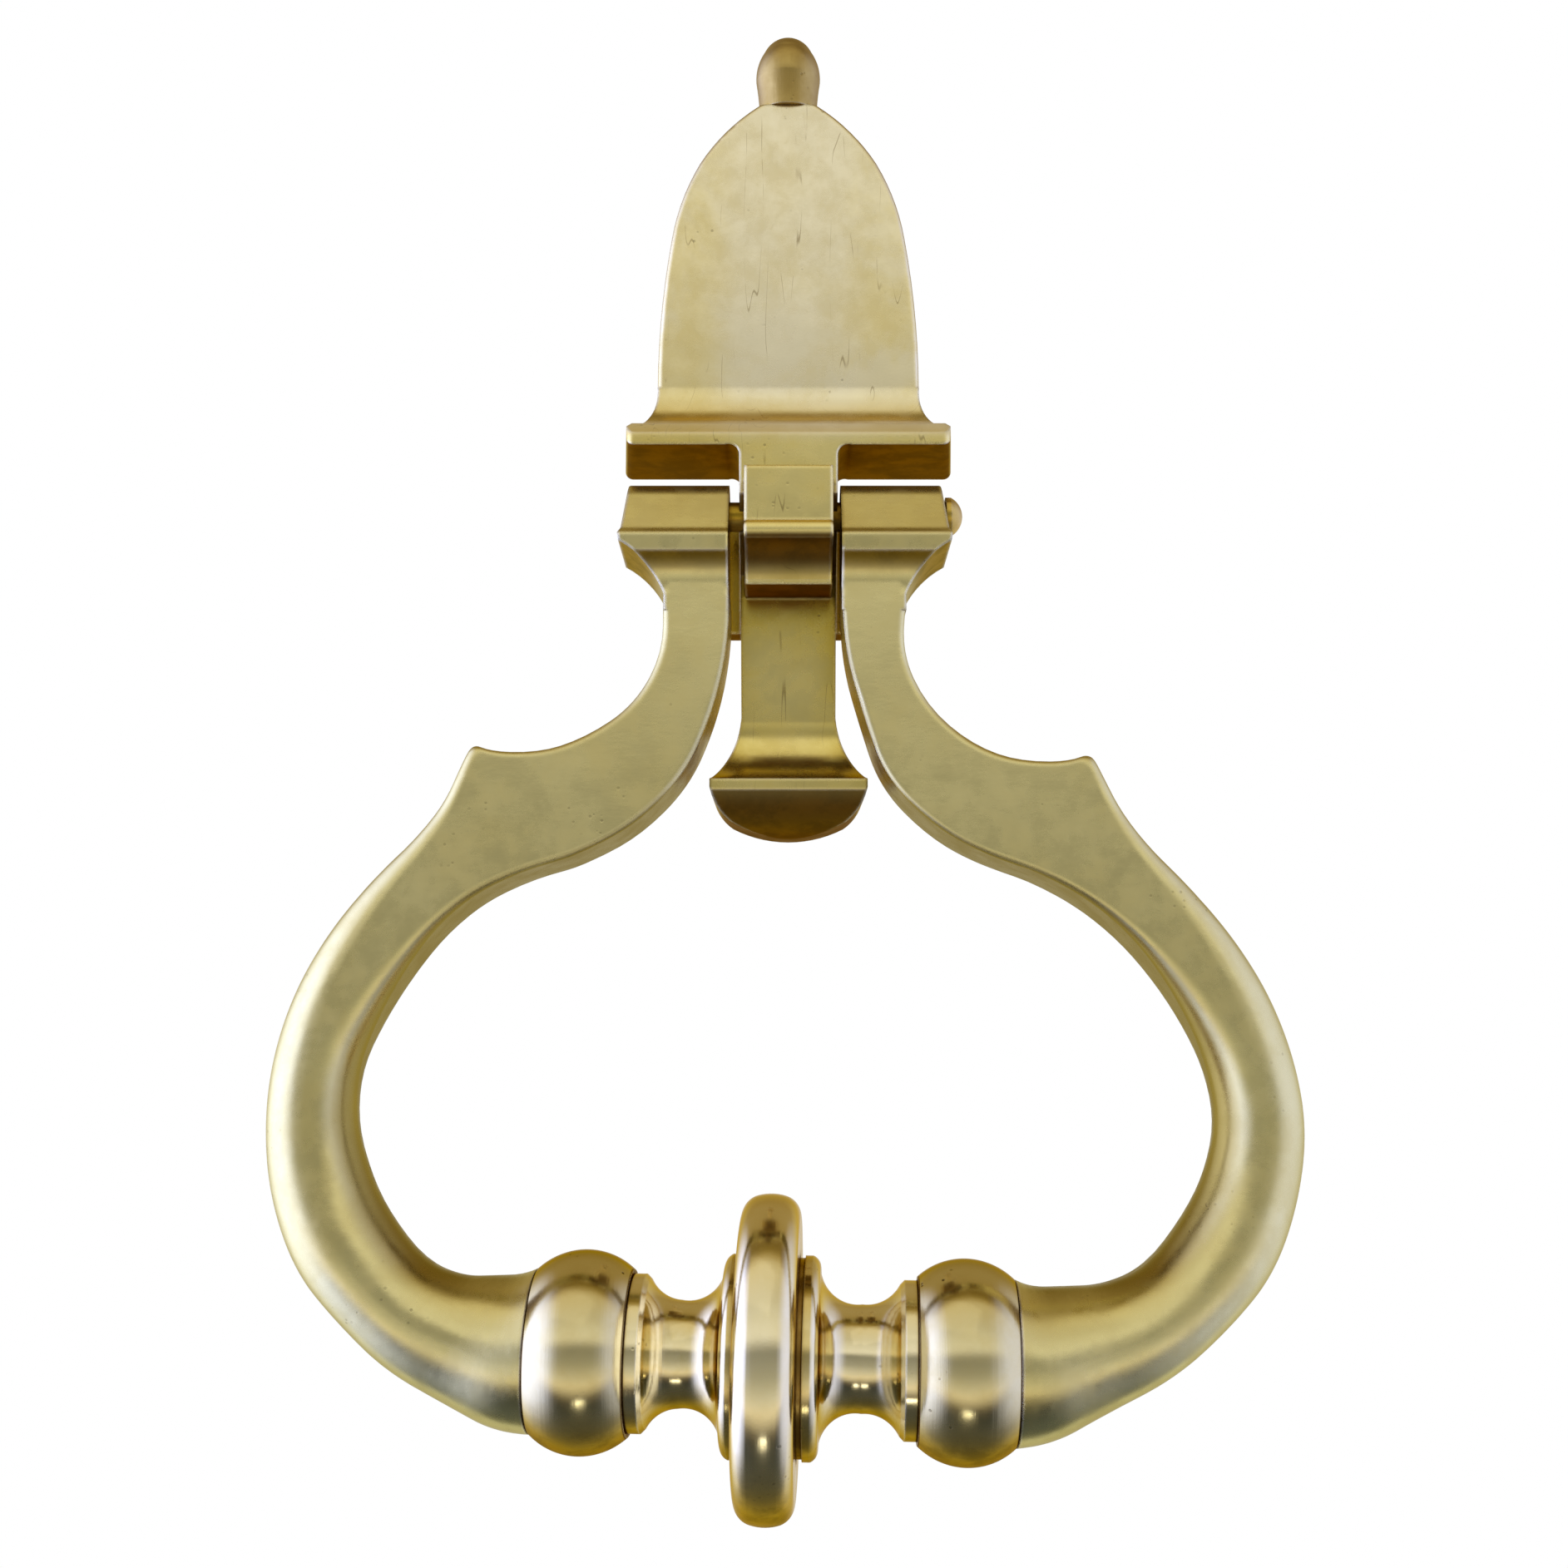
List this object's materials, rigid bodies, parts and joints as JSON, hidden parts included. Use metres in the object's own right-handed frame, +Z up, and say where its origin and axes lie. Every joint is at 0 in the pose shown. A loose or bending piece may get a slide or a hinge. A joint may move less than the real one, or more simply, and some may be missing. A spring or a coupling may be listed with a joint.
{
  "type": "door knocker",
  "caption": "Brass ring knocker: domed back plate with a moulded shelf and hinge block, and a hinged spurred ring with a turned grip and striker disc.",
  "frame": {"origin": "on the door's face, straight behind the middle of the hinge pin", "axes": "+Z up the door, +Y into the door, +X to the right as seen from outside"},
  "size_m": [0.165, 0.1068, 0.253],
  "materials": {
    "plate_brass": "aged, satin, finely scratched",
    "finial_brass": "aged, brushed upright",
    "pin_brass": "worn smooth",
    "arm_brass": "aged, satin, edges worn bright",
    "turned_brass": "polished with turning marks",
    "disc_brass": "polished, with small dents",
    "rod_steel": "threaded, dull",
    "stud_brass": "plain with rolled thread",
    "fixing_brass": "plain"
  },
  "bodies": {
    "plate": {"back_plate": "plate_brass", "acorn_finial": "finial_brass", "upper_stud": "stud_brass", "lower_stud": "stud_brass", "door_washers": "fixing_brass", "door_nuts": "fixing_brass"},
    "knocker": {"hinge_pin": "pin_brass", "left_arm": "arm_brass", "right_arm": "arm_brass", "left_ball": "turned_brass", "right_ball": "turned_brass", "left_spool": "turned_brass", "right_spool": "turned_brass", "striker_disc": "disc_brass", "disc_washer": "turned_brass", "tie_rod": "rod_steel"}
  },
  "joints": [
    {"name": "knocker_hinge", "type": "hinge", "parent": "plate", "child": "knocker", "pos_m": [0, -0.0165, 0], "axis": [-1, 0, 0], "range_deg": [0, 100]}
  ]
}
